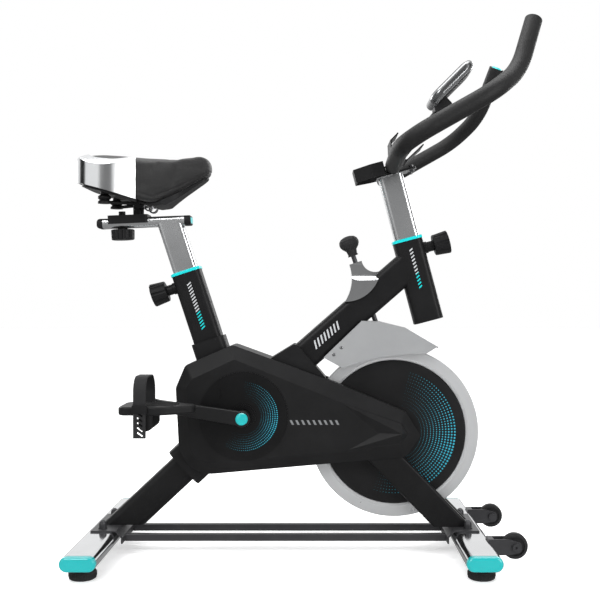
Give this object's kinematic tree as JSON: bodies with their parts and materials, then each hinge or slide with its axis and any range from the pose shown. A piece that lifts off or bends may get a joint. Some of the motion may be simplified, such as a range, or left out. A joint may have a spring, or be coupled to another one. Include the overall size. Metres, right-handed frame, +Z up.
{
  "type": "indoor exercise bike",
  "caption": "Indoor cycling trainer with a belt-driven flywheel, adjustable saddle and handlebar, strapped pedals and a small display.",
  "frame": {"origin": "on the floor, at the middle of the bike's length and width", "axes": "+X forward (the way the rider faces), +Y to the rider's left, +Z up"},
  "size_m": [0.8971, 0.5866, 1.0354],
  "materials": {
    "frame_paint": "satin powder coat",
    "steel_chrome": "polished",
    "dark_steel": "satin",
    "bare_steel": "brushed",
    "rim_metal": "polished rim",
    "black_plastic": "fine texture",
    "silver_plastic": "satin silver",
    "bright_plastic": "metallised",
    "teal_plastic": "satin",
    "rubber_black": "matt",
    "foam_black": "soft foam",
    "seat_cover": "grained synthetic leather",
    "fabric_pad": "felt"
  },
  "bodies": {
    "frame": {"main_beam": "frame_paint", "rear_leg_tube": "frame_paint", "seat_tube": "frame_paint", "head_tube": "frame_paint", "fork_legs": "frame_paint", "base_frame": "dark_steel", "stabilisers": "steel_chrome", "stabiliser_end_caps": "teal_plastic", "stabiliser_bolts": "bare_steel", "right_shroud": "black_plastic", "left_shroud": "black_plastic", "crank_discs": "black_plastic", "neck_covers": "black_plastic", "tube_bushings": "teal_plastic", "flywheel_guard": "silver_plastic", "brake_housing": "bright_plastic", "bearings": "bare_steel", "drive_belt": "rubber_black", "transport_brackets": "dark_steel"},
    "flywheel_assembly": {"flywheel": "rim_metal", "flywheel_covers": "black_plastic", "flywheel_axle": "bare_steel", "small_pulley": "bare_steel"},
    "crankset": {"crank_axle": "bare_steel", "crank_arms": "frame_paint", "crank_caps": "teal_plastic", "drive_pulley": "black_plastic", "pedal_spindles": "bare_steel"},
    "right_pedal_unit": {"right_pedal": "black_plastic", "right_pedal_strap": "rubber_black"},
    "left_pedal_unit": {"left_pedal": "black_plastic", "left_pedal_strap": "rubber_black"},
    "seat_post_unit": {"seat_post": "steel_chrome", "rail_caps": "teal_plastic"},
    "carriage": {"saddle_carriage": "frame_paint"},
    "slider_clamp": {"slider_knob": "black_plastic"},
    "saddle": {"saddle_base": "black_plastic", "saddle_cushion": "seat_cover", "saddle_rear_cover": "bright_plastic"},
    "seat_barrel": {"seat_pin_barrel": "bare_steel"},
    "seat_pin": {"seat_pin_knob": "black_plastic"},
    "bar_barrel": {"bar_pin_barrel": "bare_steel"},
    "bar_pin": {"bar_pin_knob": "black_plastic"},
    "handlebar_unit": {"handlebar_post": "steel_chrome", "handlebar": "bare_steel", "handlebar_grips": "foam_black", "bar_end_caps": "teal_plastic", "bottle_holder": "black_plastic", "device_cradle": "frame_paint", "console_body": "silver_plastic"},
    "button": {"console_button": "black_plastic"},
    "brake_plunger": {"brake_rod": "bare_steel", "brake_pad": "fabric_pad"},
    "brake_knob": {"resistance_knob": "rubber_black"},
    "right_wheel": {"right_transport_wheel": "rubber_black"},
    "left_wheel": {"left_transport_wheel": "rubber_black"},
    "rear_right_foot_unit": {"rear_right_foot": "rubber_black"},
    "rear_left_foot_unit": {"rear_left_foot": "rubber_black"},
    "front_right_foot_unit": {"front_right_foot": "rubber_black"},
    "front_left_foot_unit": {"front_left_foot": "rubber_black"}
  },
  "joints": [
    {"name": "flywheel_spin", "type": "hinge", "parent": "frame", "child": "flywheel_assembly", "pos_m": [0.1875, 0, 0.2395], "axis": [0, 1, 0], "continuous": true},
    {"name": "crank_spin", "type": "hinge", "parent": "frame", "child": "crankset", "pos_m": [-0.115, 0, 0.277], "axis": [0, 1, 0], "continuous": true},
    {"name": "right_pedal_spin", "type": "hinge", "parent": "crankset", "child": "right_pedal_unit", "pos_m": [-0.28286, 0, 0.30389], "axis": [0, 1, 0], "continuous": true},
    {"name": "left_pedal_spin", "type": "hinge", "parent": "crankset", "child": "left_pedal_unit", "pos_m": [0.05286, 0, 0.25011], "axis": [0, 1, 0], "continuous": true},
    {"name": "seat_height", "type": "slide", "parent": "frame", "child": "seat_post_unit", "axis": [-0.3123, 0, 0.95], "range_m": [-0.04, 0.08]},
    {"name": "saddle_slide", "type": "slide", "parent": "seat_post_unit", "child": "carriage", "axis": [0.9991, 0, 0.0416], "range_m": [-0.01, 0.045]},
    {"name": "slider_knob_turn", "type": "hinge", "parent": "carriage", "child": "slider_clamp", "pos_m": [-0.36804, 0, 0.66508], "axis": [-0.0416, 0, 0.9991], "range_deg": [0, 360]},
    {"name": "saddle_tilt", "type": "hinge", "parent": "carriage", "child": "saddle", "pos_m": [-0.331, 0, 0.704], "axis": [0, 1, 0], "range_deg": [-8, 8]},
    {"name": "seat_pin_turn", "type": "hinge", "parent": "frame", "child": "seat_barrel", "pos_m": [-0.22875, 0, 0.5419], "axis": [-0.95, 0, -0.3123], "range_deg": [0, 360]},
    {"name": "seat_pin_pull", "type": "slide", "parent": "seat_barrel", "child": "seat_pin", "axis": [-0.95, 0, -0.3123], "range_m": [0, 0.012], "stiffness_N_per_m": 900, "springref_m": -0.006},
    {"name": "handlebar_height", "type": "slide", "parent": "frame", "child": "handlebar_unit", "axis": [-0.2554, 0, 0.9668], "range_m": [-0.04, 0.08]},
    {"name": "bar_pin_turn", "type": "hinge", "parent": "frame", "child": "bar_barrel", "pos_m": [0.22155, 0, 0.60713], "axis": [0.9668, 0, 0.2554], "range_deg": [0, 360]},
    {"name": "bar_pin_pull", "type": "slide", "parent": "bar_barrel", "child": "bar_pin", "axis": [0.9668, 0, 0.2554], "range_m": [0, 0.012], "stiffness_N_per_m": 900, "springref_m": -0.006},
    {"name": "button_press", "type": "slide", "parent": "handlebar_unit", "child": "button", "axis": [0.7071, 0, -0.7071], "range_m": [0, 0.001], "stiffness_N_per_m": 1200, "springref_m": -0.001},
    {"name": "brake_push", "type": "slide", "parent": "frame", "child": "brake_plunger", "axis": [0.3223, 0, -0.9466], "range_m": [0, 0.008], "stiffness_N_per_m": 2500, "springref_m": -0.004},
    {"name": "resistance_turn", "type": "hinge", "parent": "brake_plunger", "child": "brake_knob", "pos_m": [0.169, 0, 0.411], "axis": [-0.3223, 0, 0.9466], "range_deg": [0, 720]},
    {"name": "right_wheel_spin", "type": "hinge", "parent": "frame", "child": "right_wheel", "pos_m": [0.4094, -0.126, 0.038], "axis": [0, 1, 0], "continuous": true},
    {"name": "left_wheel_spin", "type": "hinge", "parent": "frame", "child": "left_wheel", "pos_m": [0.4094, 0.126, 0.038], "axis": [0, 1, 0], "continuous": true},
    {"name": "rear_right_foot_adjust", "type": "slide", "parent": "frame", "child": "rear_right_foot_unit", "axis": [0, 0, -1], "range_m": [0, 0.01]},
    {"name": "rear_left_foot_adjust", "type": "slide", "parent": "frame", "child": "rear_left_foot_unit", "axis": [0, 0, -1], "range_m": [0, 0.01]},
    {"name": "front_right_foot_adjust", "type": "slide", "parent": "frame", "child": "front_right_foot_unit", "axis": [0, 0, -1], "range_m": [0, 0.01]},
    {"name": "front_left_foot_adjust", "type": "slide", "parent": "frame", "child": "front_left_foot_unit", "axis": [0, 0, -1], "range_m": [0, 0.01]}
  ],
  "couplings": [
    {"joint": "crank_spin", "follows": "flywheel_spin", "ratio": 0.25}
  ]
}
